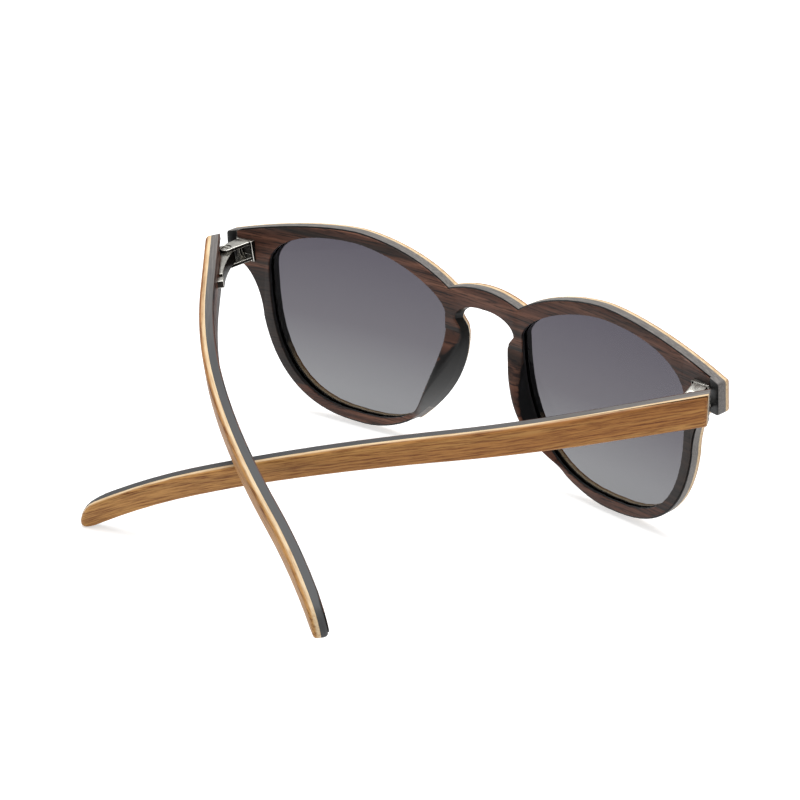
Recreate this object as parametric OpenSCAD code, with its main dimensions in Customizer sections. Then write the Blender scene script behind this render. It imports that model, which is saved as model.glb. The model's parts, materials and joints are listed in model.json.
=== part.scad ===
// Wooden sunglasses with a bent three-ply front, tinted lenses and sprung arms.
// Millimetres. +X is the wearer's right, +Y is the way the wearer looks, +Z is up.
// The origin is the rear edge of the bridge's underside, where the frame sits on the nose.

/* [Front] */
// Overall width of the front
front_w = 141; // [134:0.5:148]
// Radius of the front's bend, seen from above
bend_r = 340; // [260:5:500]
// Thickness of the light outer ply of the front
facing_t = 1.4; // [1.1:0.1:2]
// Thickness of the black middle ply of the front
core_t = 1.9; // [1.6:0.1:2.2]
// Thickness of the brown ply on the wearer's side
veneer_t = 0.3; // [0.2:0.05:0.5]
// How far the brown ply stops short of the outer edge, where the edge is eased into the black
edge_ease = 0.35; // [0.2:0.05:0.5]
// Height of the bridge above its underside
bridge_h = 4.5; // [3.5:0.1:6]
// Distance from the middle to the notch between bridge and rim
notch_x = 10; // [9:0.1:11]
// Fall of the brow line from the top of the rim to the end of the front
brow_drop = 6.1; // [5:0.1:7]
// Power of the brow line's fall
brow_power = 1.6; // [1.4:0.05:2]
// Height of the front's end, where the arm meets it
end_h = 6.9; // [6.6:0.1:8]
// Rounding of the end's corners
end_round = 0.8; // [0.4:0.1:1.5]
// Width of the black land that the arm's end closes against
land_w = 2.85; // [2.8:0.05:3]

/* [Lenses] */
// Distance between the two lens openings
lens_apart = 22; // [20:0.1:24]
// Width of the front from the rim to its end
end_w = 7.85; // [7.5:0.05:8.5]
// Part of the opening's width on the nose side of the lens centre line
open_share = 0.508; // [0.49:0.002:0.52]
// Depth of the lens centre line below the bridge's underside
lens_drop = 3; // [2:0.1:4]
// Reach of the opening upward
open_up = 10.3; // [9:0.1:11]
// Reach of the opening downward
open_down = 29.8; // [27:0.1:32]
// Width of the rim on the temple side
rim_side = 2.85; // [2.4:0.05:3.5]
// Width of the rim at the top
rim_top = 2.6; // [2.2:0.1:3.5]
// Width of the rim at the bottom
rim_bottom = 2.3; // [1.8:0.1:3]
// Width of the rim on the nose side, before the nose is cut
rim_nose = 5.6; // [5:0.1:6.5]
// Thickness of a lens
lens_t = 1; // [0.8:0.05:1.1]
// Depth from the back of the front to the lens
lens_depth = 0.9; // [0.8:0.05:1]
// Depth of the groove that holds the lens
groove = 0.6; // [0.4:0.1:0.8]
// Clearance between the lens edge and the groove
lens_gap = 0.05; // [0.02:0.01:0.15]

/* [Nose] */
// Half width of the keyhole under the bridge
keyhole_x = 7.7; // [7.2:0.1:8.2]
// Height of the keyhole's arch
keyhole_h = 4.1; // [3.5:0.1:5]
// Half width between the nose pads at their closest
nose_x = 5.9; // [5.4:0.1:6.3]
// Depth of the closest point below the bridge's underside
nose_drop = 7.2; // [6.5:0.1:8]
// Length that sets how slowly the nose opening widens downward
nose_flare = 37; // [34:0.5:42]
// Splay of the pads' nose faces
nose_splay = 24; // [20:1:26]
// Bevel of the nose opening toward the outer face
nose_bevel = 35; // [20:1:45]
// Depth at which that bevel starts
bevel_depth = 1.9; // [1.5:0.1:2.4]
// Height of a nose pad behind the front
pad_h = 4; // [3.5:0.1:4.4]
// Depth of the pad's upper end below the bridge's underside
pad_top = 6.4; // [6:0.1:7]
// Length of a nose pad
pad_l = 24; // [20:0.5:24.5]

/* [Hinges] */
// Distance of the pivot from the front's end
pivot_in = 3.9; // [3.7:0.1:4.4]
// Distance of the pivot behind the front
pivot_back = 4.4; // [4:0.1:5]
// Depth of the hinge's middle below the bridge's underside
hinge_drop = 0.3; // [0:0.1:0.6]
// Lean of the pivot, which sets the droop of the open arms
pivot_lean = 8; // [4:0.5:10]
// Radius of the hinge's round ends
knuckle_r = 1.6; // [1.5:0.05:1.7]
// Thickness of one ear of the bracket
ear_t = 0.8; // [0.7:0.05:1]
// Space between the two ears
ear_space = 3; // [2.6:0.1:3.2]
// Play of the slider's knuckle between the ears, each side
knuckle_gap = 0.05; // [0.03:0.01:0.1]
// Depth of the bracket's foot in the front
foot_depth = 1.5; // [1.2:0.1:1.6]
// Width of the bracket's foot
foot_w = 4.6; // [4.2:0.1:5]
// Offset of the foot from the pivot, toward the nose
foot_in = 1.2; // [1:0.1:1.5]
// Height of the foot's face over the back of the front
foot_proud = 0.1; // [0.05:0.05:0.2]
// Wall of the foot, which is a tray
tray_wall = 0.25; // [0.2:0.05:0.35]
// Depth of the tray
tray_depth = 0.8; // [0.6:0.05:0.9]
// Gap around the foot in its pocket
foot_gap = 0.05; // [0.03:0.01:0.1]
// Radius of the pivot screw
screw_r = 0.7; // [0.6:0.05:0.8]
// Radius of the pivot screw's head
screw_head_r = 1.1; // [1:0.05:1.2]
// Thickness of the pivot screw's head
screw_head_t = 0.4; // [0.3:0.05:0.45]
// Depth of the screw's head below the ear's face
screw_sink = 0.2; // [0.1:0.05:0.25]
// Width of the slot in the screw's head
slot_w = 0.35; // [0.3:0.05:0.5]
// Running clearance around the screw and the slider's shaft
bore_gap = 0.03; // [0.02:0.01:0.06]
// Length of the slider's fin, from the pivot
fin_l = 11.2; // [10:0.2:12]
// Gap between the fin and the arm
fin_gap = 0.1; // [0.08:0.01:0.15]
// Width of the fin at its thin end
fin_end_w = 1; // [0.9:0.1:1.2]
// Length of the lug that joins the fin to the shaft inside the arm
lug_l = 1.2; // [1:0.1:1.4]
// Radius of the slider's shaft
shaft_r = 0.25; // [0.2:0.05:0.3]
// Length of the open neck between the fin and the spring case
neck_l = 1.3; // [1.2:0.1:1.6]
// Sliding travel of the sprung arm
flex_l = 1.2; // [1:0.1:1.3]
// Length of the spring case
case_l = 12.6; // [12.2:0.2:14]
// Height of the spring case
case_h = 2.2; // [1.8:0.1:2.4]
// Wall of the spring case
case_wall = 0.2; // [0.15:0.05:0.25]
// Thickness of the case's end walls
case_end = 1; // [0.8:0.1:1.2]
// Length of the block at the front of the spring case
block_l = 2.2; // [1.8:0.1:2.6]
// Height of that block above the shaft
block_top = 1.4; // [1.2:0.1:1.6]
// Depth of that block below the shaft
block_low = 0.3; // [0.2:0.1:0.6]
// Height of that block over the arm's inner face
block_stand = 1.4; // [1.2:0.1:1.6]
// Length of the spring at rest
spring_l = 9.2; // [8:0.1:9.4]
// Thickness of the flange at the end of the shaft
flange_t = 0.8; // [0.6:0.1:1]
// Gap between the coil and the bore of the case
coil_gap = 0.08; // [0.05:0.01:0.1]
// Wire radius of the spring
wire_r = 0.1; // [0.08:0.01:0.12]
// Number of turns of the spring
turns = 11; // [8:1:11]

/* [Arms] */
// Length of an arm along its outer face
arm_l = 138.2; // [130:0.2:145]
// Height of an arm at the hinge
arm_h = 6.8; // [6.6:0.1:8]
// Height of the arm's upper edge over the hinge's middle
arm_top = 3.8; // [3.2:0.1:4.2]
// Height of an arm near its tip
arm_tip_h = 4.8; // [4:0.1:6]
// Length over which the arm's height tapers
taper_l = 95.5; // [80:0.5:110]
// Length of the rounded tip
tip_l = 4; // [2.5:0.1:5]
// Fall of the tip's end below the arm's curve
tip_fall = 0.6; // [0:0.1:1]
// Thickness of the light outer ply of an arm
arm_facing_t = 1.4; // [1:0.1:1.5]
// Thickness of the black middle ply of an arm
arm_core_t = 1.6; // [1.5:0.1:1.7]
// Thickness of the brown inner ply of an arm
arm_veneer_t = 0.3; // [0.2:0.05:0.4]
// Reach of the arm's outer face past the front's end
arm_over = 0.75; // [0.6:0.05:1]
// Straight length of an arm before its bow starts
arm_straight = 22.2; // [20:0.2:30]
// Radius of the arm's bow
bow_r = 227; // [200:1:260]
// Angle of the arm's bow
bow_angle = 21.7; // [18:0.1:24]
// Radius of the slight outward turn near the tip
turn_r = 232; // [150:2:260]
// Length of the arm's straight upper edge
ear_start = 53.5; // [50:0.5:65]
// Radius of the drop behind the ear
drop_r = 229; // [170:1:260]
// Gap between the open arm's end and the front
arm_gap = 0.6; // [0.4:0.05:0.8]
// Gap around the hinge in the arm's recess
recess_gap = 0.2; // [0.15:0.05:0.3]

/* [Pose] */
// Fold of the left arm from fully open
fold_left = 42.8; // [0:0.1:43]
// Fold of the right arm from fully open
fold_right = 48.8; // [48.5:0.1:60]
// Downward slope of the left arm at its hinge
slope_left = 2.2; // [0:0.1:2.6]
// Downward slope of the right arm at its hinge
slope_right = 4.9; // [4.5:0.1:6]

/* [Hidden] */
// Steps of the large arcs
$fn = 96;
// Steps of the bent shells, which are much larger than they are thick
BEND_FN = 720;
// Points along each quarter of a lens outline
QUARTER = 12;
// Points along each rounded corner of the front's ends
CORNER = 4;
// Degrees in a quarter turn
SQUARE = 90;
// Parts that the side of an arm is divided into
ARM_PARTS = 28;
// Reach of the cutting solids past the part
FAR = 60;
// Steps of the keyhole's arch by which the two halves of the nose opening overlap
NOSE_LAP = 3;
// Gap between the spring's end turns and what they press on
SPRING_SEAT = 0.02;
// Margin of the bracket's foot above and below its ears
FOOT_RIM = 0.15;
// Part of a nose pad's length that is cut off square at each end
PAD_END = 0.015;
// Distance from the lens opening to where a nose pad's height is measured
PAD_STEP = 2;
// Power that sets the nose pad's highest point below its middle
RIDGE_SKEW = 1.2;
// How full each quarter of the opening is: out and up, in and up, in and down, out and down
OPEN_FULL = [2.2, 1.6, 2.4, 2.75];
// How full each quarter of the rim is, in the same order
RIM_FULL = [2.2, 1.72, 1.88, 2.57];
// How full the curve is between the front's end and the rim
END_FULL = 1.7;
// Angle below the lens centre line at which that curve runs out into the rim
END_TURN = 16;
// Angle below the lens centre line at which the lower rim has passed under the nose opening
NOSE_TURN = 120;

half_w = front_w / 2;
front_t = facing_t + core_t + veneer_t;
open_w = half_w - lens_apart / 2 - rim_side - end_w;
open_in = open_w * open_share;
open_out = open_w - open_in;
lens_x = lens_apart / 2 + open_in;
rim_in = open_in + rim_nose;
rim_out = open_out + rim_side;
rim_up = open_up + rim_top;
rim_down = open_down + rim_bottom;
rim_z = rim_up - lens_drop;
land_x = half_w - land_w;

// Where the bent back face lies at a distance from the middle
function back_y(x) = sqrt(bend_r * bend_r - x * x) - bend_r;

pivot_x = half_w - pivot_in;
pivot = [pivot_x, back_y(pivot_x) - pivot_back, -hinge_drop];
arm_t = arm_facing_t + arm_core_t + arm_veneer_t;
// The arm's own frame has the pivot at its origin and the open arm along -Y
arm_out = pivot_in + arm_over;
arm_in = arm_out - arm_t;
arm_front = back_y(half_w) - arm_gap - pivot[1];
bow_centre = [arm_out - bow_r, arm_front - arm_straight];
bow_end = arm_straight + bow_r * bow_angle * PI / 180;
turn_centre = bow_centre + (bow_r + turn_r) * [cos(bow_angle), -sin(bow_angle)];
turn_angle = (arm_l - bow_end) / turn_r * 180 / PI;
arm_reach = arm_straight + bow_r * sin(bow_angle) + turn_r * (sin(bow_angle) - sin(bow_angle - turn_angle));

hinge_h = ear_space + 2 * ear_t;
knuckle_h = ear_space - 2 * knuckle_gap;
case_front = -fin_l - neck_l;
case_in = arm_in + arm_veneer_t;
shaft_x = case_in + arm_core_t / 2;
bore_r = arm_core_t / 2 - case_wall;
spring_from = case_front - case_end;
spring_to = spring_from - spring_l;
coil_r = bore_r - wire_r - coil_gap;
head_z = hinge_h / 2 - screw_head_t - screw_sink;

// A point of the open arm seen from above: length along its outer face, depth under that face
function arm_point(s, depth) =
    s <= arm_straight ? [arm_out - depth, arm_front - s] :
    s <= bow_end ?
        let (a = (s - arm_straight) / bow_r * 180 / PI)
        bow_centre + (bow_r - depth) * [cos(a), -sin(a)] :
        let (a = bow_angle - (s - bow_end) / turn_r * 180 / PI)
        turn_centre - (turn_r + depth) * [cos(a), -sin(a)];
// Lengths at which the arm's layers have points, past both of its ends
ARM_STEPS = concat(
    [-FAR / 4],
    [for (i = [0 : 24]) arm_straight + (bow_end - arm_straight) * i / 24],
    [for (i = [1 : 8]) bow_end + (arm_l + arm_h - bow_end) * i / 8]
);

// Signed power, so that a quarter keeps its direction
function spow(v, p) = sign(v) * pow(abs(v), p);

// One point of an outline made of four quarters, each with its own reach and fullness
function quarter_point(a, reach, full) =
    let (c = cos(a))
    let (s = sin(a))
    let (q = s >= 0 ? (c >= 0 ? 0 : 1) : (c < 0 ? 2 : 3))
    let (rx = c >= 0 ? reach[1] : reach[0])
    let (rz = s >= 0 ? reach[2] : reach[3])
    [lens_x + rx * spow(c, 2 / full[q]), -lens_drop + rz * spow(s, 2 / full[q])];

// The lens opening, grown by an even margin
function opening(margin) =
    let (reach = [open_in + margin, open_out + margin, open_up + margin, open_down + margin])
    [for (i = [0 : 4 * QUARTER - 1]) quarter_point(SQUARE * i / QUARTER, reach, OPEN_FULL)];

// The rim at an inset from the front's edge
function rim(inset) = [rim_in - inset, rim_out - inset, rim_up - inset, rim_down - inset];
function rim_point(a, inset) = quarter_point(a, rim(inset), RIM_FULL);
function notch_a(inset) = 180 - acos(pow((lens_x - notch_x) / (rim_in - inset), RIM_FULL[1] / 2));
end_top = rim_z - brow_drop;
end_low = end_top - end_h;
function brow_z(x) = rim_z - brow_drop * pow((x - lens_x) / (half_w - lens_x), brow_power);
function corner(a) = [half_w - end_round * (1 - cos(a)), end_round * sin(a)];
corner_z = brow_z(half_w - end_round) - end_round;

// Right half of the front's outline, from the top of the bridge to below the nose
function bridge_line(inset) = let (top = bridge_h - inset) let (low = rim_point(notch_a(inset), inset)[1])
    [for (i = [0 : 7]) let (u = i / 8) [notch_x * u, top - (top - low) * u * u]];
function rim_line(inset) = let (a = notch_a(inset))
    [for (i = [0 : 11]) rim_point(a + (SQUARE - a) * i / 12, inset)];
function brow_line(inset) =
    [for (i = [0 : 10]) let (x = lens_x + (half_w - end_round - lens_x) * i / 10) [x, brow_z(x) - inset]];
upper_corner = [for (i = [CORNER - 1 : -1 : 0]) [0, corner_z] + corner(SQUARE * i / CORNER)];
lower_corner = [for (i = [0 : CORNER]) [0, end_low + end_round] + corner(-SQUARE * i / CORNER)];
function end_curve(inset) = let (p = rim_point(-END_TURN, inset)) let (low = end_low + inset)
    [for (i = [0 : 11]) let (a = SQUARE * i / 12) let (in = pow(sin(a), 2 / END_FULL))
        [land_x - (land_x - p[0]) * in, p[1] + (low - p[1]) * pow(cos(a), 2 / END_FULL)]];
function lower_rim(inset) =
    [for (i = [0 : 25]) rim_point(-END_TURN - (NOSE_TURN - END_TURN) * i / 25, inset)];
function half_line(inset) = concat(
    bridge_line(inset), rim_line(inset), brow_line(inset), upper_corner, lower_corner,
    end_curve(inset), lower_rim(inset)
);
function outline(inset) = let (half = half_line(inset))
    concat(half, [for (i = [len(half) - 1 : -1 : 1]) [-half[i][0], half[i][1]]]);

// The nose opening's flank, seen from the front, closest at the nose drop
shoulder_flare = pow(nose_drop - keyhole_h, 2) / (keyhole_x - nose_x);
function flank_x(z) = nose_x + pow(nose_drop + z, 2) / (z > -nose_drop ? shoulder_flare : nose_flare);

// The nose pad's ridge at a depth under its surface, from its upper to its lower end
pad_base = back_y(lens_x - open_in + PAD_STEP);
pad_reach = lens_x - open_in / 2;
function pad_z(u) = -pad_top - pad_l * u;
function ridge_y(u, under) = pad_base + under - pad_h * sin(180 * pow(u, RIDGE_SKEW));
function ridge_line(under) = [for (i = [0 : 24])
    let (u = PAD_END + (1 - 2 * PAD_END) * i / 24) [ridge_y(u, under), pad_z(u)]];

// Draws the right-hand piece, or its mirror image on the left
module on_side(side) {
    if (side == "left") mirror([1, 0, 0]) children();
    else children();
}

// Carries a flat outline drawn in X and Z through the front along Y
module through_front() {
    rotate([90, 0, 0]) linear_extrude(height = FAR, center = true) children();
}

// The bent layer between two depths, measured from the back of the front
module bent_layer(near, far) {
    translate([0, -bend_r, 0]) difference() {
        cylinder(r = bend_r + far, h = 2 * FAR, center = true, $fn = BEND_FN);
        cylinder(r = bend_r + near, h = 3 * FAR, center = true, $fn = BEND_FN);
    }
}

// Everything behind a depth of the front
module behind(depth) {
    translate([0, -bend_r, 0]) cylinder(r = bend_r + depth, h = 2 * FAR, center = true, $fn = BEND_FN);
}

// The front's outline at an inset, with both lens openings, as a straight block
module blank(inset) {
    edge = outline(inset);
    hole = opening(0);
    left_hole = [for (p = hole) [-p[0], p[1]]];
    n = len(edge);
    m = len(hole);
    through_front() polygon(
        concat(edge, hole, left_hole),
        [[for (i = [0 : n - 1]) i], [for (i = [n : n + m - 1]) i], [for (i = [n + m : n + 2 * m - 1]) i]]
    );
}

// The keyhole under the bridge and the space for the nose, as two splayed halves
module nose_cut() {
    low = -lens_drop - rim_down;
    arch = [for (i = [-NOSE_LAP : 10]) [keyhole_x * sin(9 * i), keyhole_h * (cos(9 * i) - 1)]];
    flank = [for (i = [1 : 18]) let (z = -keyhole_h + (low + keyhole_h) * i / 18) [flank_x(z), z]];
    line = concat(arch, flank, [[arch[0][0], low]]);
    for (side = ["left", "right"]) on_side(side) translate([0, bevel_depth, 0]) {
        rotate([0, 0, nose_splay]) through_front() polygon([for (p = line) [p[0] * cos(nose_splay), p[1]]]);
        rotate([90, 0, -nose_bevel]) translate([0, 0, -FAR / 4]) linear_extrude(height = FAR / 4)
            polygon([for (p = line) [p[0] * cos(nose_bevel), p[1]]]);
    }
}

// One ply of the front, at an inset from the front's edge
module front_ply(near, far, inset) {
    difference() {
        intersection() {
            blank(inset);
            bent_layer(near, far);
        }
        nose_cut();
    }
}

// The shape of a lens, at a margin around its opening
module lens_shape(side, margin) {
    on_side(side) intersection() {
        through_front() polygon(opening(margin));
        bent_layer(lens_depth, lens_depth + lens_t);
    }
}

module grooves() {
    for (side = ["left", "right"]) lens_shape(side, groove);
}

// The strips at both ends where the black ply comes through to the back
module lands() {
    for (side = ["left", "right"]) on_side(side) translate([land_x, -FAR / 2, -FAR / 2]) cube(FAR);
}

// The part of the front's back that a nose pad stands on
module pad_zone(side) {
    low = pad_z(1 - PAD_END);
    on_side(side) translate([0, -FAR / 2, low]) cube([pad_reach, FAR, pad_z(PAD_END) - low]);
}

// A nose pad's layer with its side profile, fitted to the front's outline and core
module pad_layer(side, profile) {
    difference() {
        on_side(side) intersection() {
            blank(0);
            rotate([90, 0, 90]) linear_extrude(height = pad_reach) polygon(profile);
            behind(veneer_t);
        }
        nose_cut();
    }
}

// Places a piece drawn about the pivot onto the right end of the front
module at_pivot() {
    translate(pivot) rotate([pivot_lean, 0, 0]) children();
}

// Swings a piece of the open right arm to its fold
module folded(angle) {
    at_pivot() rotate([0, 0, -angle]) rotate([-pivot_lean, 0, 0]) translate(-pivot) children();
}

module at_arm(side) {
    on_side(side) folded(side == "left" ? fold_left : fold_right) children();
}

// The bracket's foot from a distance behind the pivot, grown by a gap, with a floor that follows the bend
module foot(from, gap) {
    h = hinge_h + 2 * FOOT_RIM;
    intersection() {
        at_pivot() translate([-foot_w / 2 - foot_in - gap, from, -h / 2 - gap])
            cube([foot_w + 2 * gap, FAR, h + 2 * gap]);
        behind(foot_depth);
    }
}

module pockets() {
    for (side = ["left", "right"]) on_side(side) foot(0, foot_gap);
}

module front_facing() {
    color("burlywood") front_ply(veneer_t + core_t, front_t, 0);
}

module front_core() {
    color("dimgray") difference() {
        union() {
            front_ply(veneer_t, veneer_t + core_t, 0);
            intersection() {
                front_ply(0, veneer_t, 0);
                lands();
            }
        }
        grooves();
        pockets();
    }
}

module front_veneer() {
    color("saddlebrown") difference() {
        front_ply(0, veneer_t, edge_ease);
        lands();
        pockets();
        pad_zone("left");
        pad_zone("right");
    }
}

module lens(side) {
    color("slategray", 0.6) lens_shape(side, groove - lens_gap);
}

module nose_pad(side) {
    profile = concat(ridge_line(veneer_t), [[FAR / 2, pad_z(1 - PAD_END)], [FAR / 2, pad_z(PAD_END)]]);
    color("black") pad_layer(side, profile);
}

module nose_veneer(side) {
    under = ridge_line(veneer_t);
    profile = concat(ridge_line(0), [for (i = [len(under) - 1 : -1 : 0]) under[i]]);
    color("saddlebrown") pad_layer(side, profile);
}

// Two ears that rise from the floor of a tray, which is let into the back of the front
module hinge_bracket(side) {
    tray_in = -foot_w / 2 - foot_in + tray_wall;
    tray_out = foot_w / 2 - foot_in - tray_wall;
    floor_y = pivot_back - foot_proud + tray_depth;
    h = hinge_h + 2 * FOOT_RIM - 2 * tray_wall;
    color("silver") on_side(side) difference() {
        union() {
            difference() {
                foot(pivot_back - foot_proud, 0);
                at_pivot() translate([tray_in, 0, -h / 2]) cube([tray_out - tray_in, floor_y, h]);
            }
            at_pivot() for (z = [-hinge_h / 2, hinge_h / 2 - ear_t]) translate([0, 0, z]) {
                cylinder(r = knuckle_r, h = ear_t);
                linear_extrude(height = ear_t) polygon([
                    [knuckle_r, 0], [tray_out - FOOT_RIM, floor_y + FOOT_RIM],
                    [tray_in + FOOT_RIM, floor_y + FOOT_RIM], [-knuckle_r, 0]
                ]);
            }
        }
        at_pivot() {
            cylinder(r = screw_r + bore_gap, h = 2 * hinge_h, center = true);
            translate([0, 0, head_z]) cylinder(r = screw_head_r + bore_gap, h = hinge_h);
        }
    }
}

// Slotted screw that the arm turns on, its head sunk in the upper ear
module hinge_screw(side) {
    color("gainsboro") on_side(side) at_pivot() difference() {
        union() {
            translate([0, 0, -hinge_h / 2]) cylinder(r = screw_r, h = hinge_h / 2 + head_z);
            translate([0, 0, head_z]) cylinder(r = screw_head_r, h = screw_head_t);
        }
        translate([-screw_head_r * 2, -slot_w / 2, head_z + screw_head_t / 2])
            cube([screw_head_r * 4, slot_w, screw_head_t]);
    }
}

// Knuckle, fin and shaft of the sprung hinge, with a lug that reaches into the arm
module hinge_slider(side) {
    fin_out = arm_in - fin_gap;
    edge = [for (i = [0 : 12]) let (q = i / 12)
        [fin_out - fin_end_w - (knuckle_r + fin_out - fin_end_w) * (1 - q) * (1 - q), -fin_l * q]];
    color("silver") at_arm(side) at_pivot() difference() {
        union() {
            cylinder(r = knuckle_r, h = knuckle_h, center = true);
            translate([0, 0, -knuckle_h / 2]) linear_extrude(height = knuckle_h)
                polygon(concat(edge, [[fin_out, -fin_l], [fin_out, 0]]));
            translate([fin_out - fin_end_w, -fin_l, -coil_r])
                cube([shaft_x + coil_r - fin_out + fin_end_w, lug_l, 2 * coil_r]);
            translate([shaft_x, -fin_l + lug_l / 2, 0]) rotate([90, 0, 0])
                cylinder(r = shaft_r, h = lug_l / 2 - spring_to - fin_l + flange_t);
            translate([shaft_x, spring_to, 0]) rotate([90, 0, 0]) cylinder(r = coil_r + wire_r, h = flange_t);
        }
        cylinder(r = screw_r + bore_gap, h = 2 * hinge_h, center = true);
    }
}

// Coil spring around the shaft, held between the case's front wall and the shaft's flange
module hinge_spring(side) {
    sides = 6;
    rings = 8 * turns;
    from = spring_from - wire_r - SPRING_SEAT;
    to = spring_to + wire_r + SPRING_SEAT;
    pitch_angle = atan((from - to) / turns / (2 * PI * coil_r));
    points = [for (i = [0 : rings]) let (a = 45 * i) for (k = [0 : sides - 1]) let (b = 360 / sides * k)
        let (r = coil_r + wire_r * cos(b)) let (lift = wire_r * sin(b))
        [r * cos(a) + lift * sin(pitch_angle) * sin(a), r * sin(a) - lift * sin(pitch_angle) * cos(a),
         (from - to) * i / rings + lift * cos(pitch_angle)]];
    walls = [for (i = [0 : rings - 1]) for (k = [0 : sides - 1]) let (n = (k + 1) % sides)
        for (f = [[i * sides + k, (i + 1) * sides + n, (i + 1) * sides + k],
                  [i * sides + k, i * sides + n, (i + 1) * sides + n]]) f];
    last = rings * sides;
    caps = [for (k = [1 : sides - 2]) for (f = [[0, k + 1, k], [last, last + k, last + k + 1]]) f];
    echo(least_gap = (from - to) / turns * cos(pitch_angle) - 2 * wire_r);
    color("lightgray") at_arm(side) at_pivot() translate([shaft_x, from, 0]) rotate([90, 0, 0])
        polyhedron(points, concat(walls, caps));
}

// The outside of the spring case, which is also its pocket in the arm's black ply and inner ply
module case_body() {
    round_y = case_front - case_l + case_h / 2;
    intersection() {
        rotate([0, 90, 0]) linear_extrude(height = 2 * arm_out) {
            translate([-case_h / 2, round_y]) square([case_h, case_front - round_y]);
            translate([0, round_y]) circle(r = case_h / 2);
        }
        arm_band(arm_facing_t, arm_facing_t + arm_core_t);
    }
    translate([arm_in - block_stand, case_front - block_l, -block_low])
        cube([case_in + case_wall - arm_in + block_stand, block_l, block_low + block_top]);
}

// Case of the spring, as thick as the black ply, with a block that stands out of the arm
module spring_case(side) {
    color("silver") at_arm(side) at_pivot() difference() {
        case_body();
        translate([shaft_x, spring_from, 0]) rotate([90, 0, 0])
            cylinder(r = bore_r, h = case_l - 2 * case_end);
        translate([shaft_x, case_front + case_end, 0]) rotate([90, 0, 0])
            cylinder(r = shaft_r + bore_gap, h = 3 * case_end);
    }
}

// The arm's layer between two depths from its outer face, seen from above
module arm_band(near, far) {
    outer = [for (s = ARM_STEPS) arm_point(s, near)];
    inner = [for (i = [len(ARM_STEPS) - 1 : -1 : 0]) arm_point(ARM_STEPS[i], far)];
    linear_extrude(height = 2 * FAR, center = true) polygon(concat(outer, inner));
}

// The arm's upper edge and height at a length from its front end, seen from the side
function arm_upper(u) = arm_top - drop_r + sqrt(pow(drop_r, 2) - pow(max(u - ear_start, 0), 2));
function arm_height(u) = u > taper_l ? arm_tip_h : arm_h - (arm_h - arm_tip_h) * max(u, 0) / taper_l;

// The arm's outline seen from the side: a tapered bar with a dropped ear and a round tip
module arm_side(slope) {
    bar_l = arm_reach - tip_l;
    lengths = concat([-FAR / 4, 0], [for (i = [1 : ARM_PARTS]) bar_l * i / ARM_PARTS]);
    upper = [for (u = lengths) [-u, arm_upper(u)]];
    lower = [for (i = [len(lengths) - 1 : -1 : 0]) let (u = lengths[i]) [-u, arm_upper(u) - arm_height(u)]];
    tip = [for (i = [1 : 11]) let (a = 90 - 15 * i) let (u = bar_l + tip_l * cos(a))
        [-u, arm_upper(u) - tip_fall * pow(cos(a), 2) + arm_tip_h / 2 * (sin(a) - 1)]];
    rotate(slope) polygon(concat(upper, tip, lower));
}

// One ply of the open arm, with its end shaped to close on the front
module arm_ply(near, far, slope) {
    difference() {
        at_pivot() intersection() {
            arm_band(near, far);
            translate([0, arm_front, 0]) rotate([90, 0, 90])
                linear_extrude(height = 2 * FAR, center = true) arm_side(slope);
        }
        bent_layer(-arm_gap, FAR);
    }
}

// The recess for the hinge's ears, the slot that the lug slides in and the pocket for the spring case
module hinge_recess() {
    side = knuckle_r + recess_gap;
    h = hinge_h + 2 * (FOOT_RIM + recess_gap);
    slot_h = 2 * (coil_r + recess_gap);
    slot_front = -fin_l + lug_l + flex_l + recess_gap;
    at_pivot() {
        translate([-FAR, -side, -h / 2]) cube([FAR + side, FAR, h]);
        translate([-FAR, case_front, -slot_h / 2])
            cube([FAR + shaft_x + coil_r + recess_gap, slot_front - case_front, slot_h]);
        case_body();
    }
}

module arm_facing(side) {
    color("peru") at_arm(side) arm_ply(0, arm_facing_t, side == "left" ? slope_left : slope_right);
}

module arm_core(side) {
    color("dimgray") at_arm(side) difference() {
        arm_ply(arm_facing_t, arm_facing_t + arm_core_t, side == "left" ? slope_left : slope_right);
        hinge_recess();
    }
}

module arm_veneer(side) {
    color("saddlebrown") at_arm(side) difference() {
        arm_ply(arm_t - arm_veneer_t, arm_t, side == "left" ? slope_left : slope_right);
        hinge_recess();
    }
}

front_facing();
front_core();
front_veneer();
lens("left");  // lens_left
lens("right");  // lens_right
nose_pad("left");  // nose_pad_left
nose_pad("right");  // nose_pad_right
nose_veneer("left");  // nose_veneer_left
nose_veneer("right");  // nose_veneer_right
hinge_bracket("left");  // hinge_bracket_left
hinge_bracket("right");  // hinge_bracket_right
hinge_screw("left");  // hinge_screw_left
hinge_screw("right");  // hinge_screw_right
hinge_slider("left");  // hinge_slider_left
hinge_slider("right");  // hinge_slider_right
hinge_spring("left");  // hinge_spring_left
hinge_spring("right");  // hinge_spring_right
spring_case("left");  // spring_case_left
spring_case("right");  // spring_case_right
arm_facing("left");  // arm_facing_left
arm_facing("right");  // arm_facing_right
arm_core("left");  // arm_core_left
arm_core("right");  // arm_core_right
arm_veneer("left");  // arm_veneer_left
arm_veneer("right");  // arm_veneer_right
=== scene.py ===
import json
import math

import bmesh
import bpy
import numpy as np
from mathutils import Matrix, Vector


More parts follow.
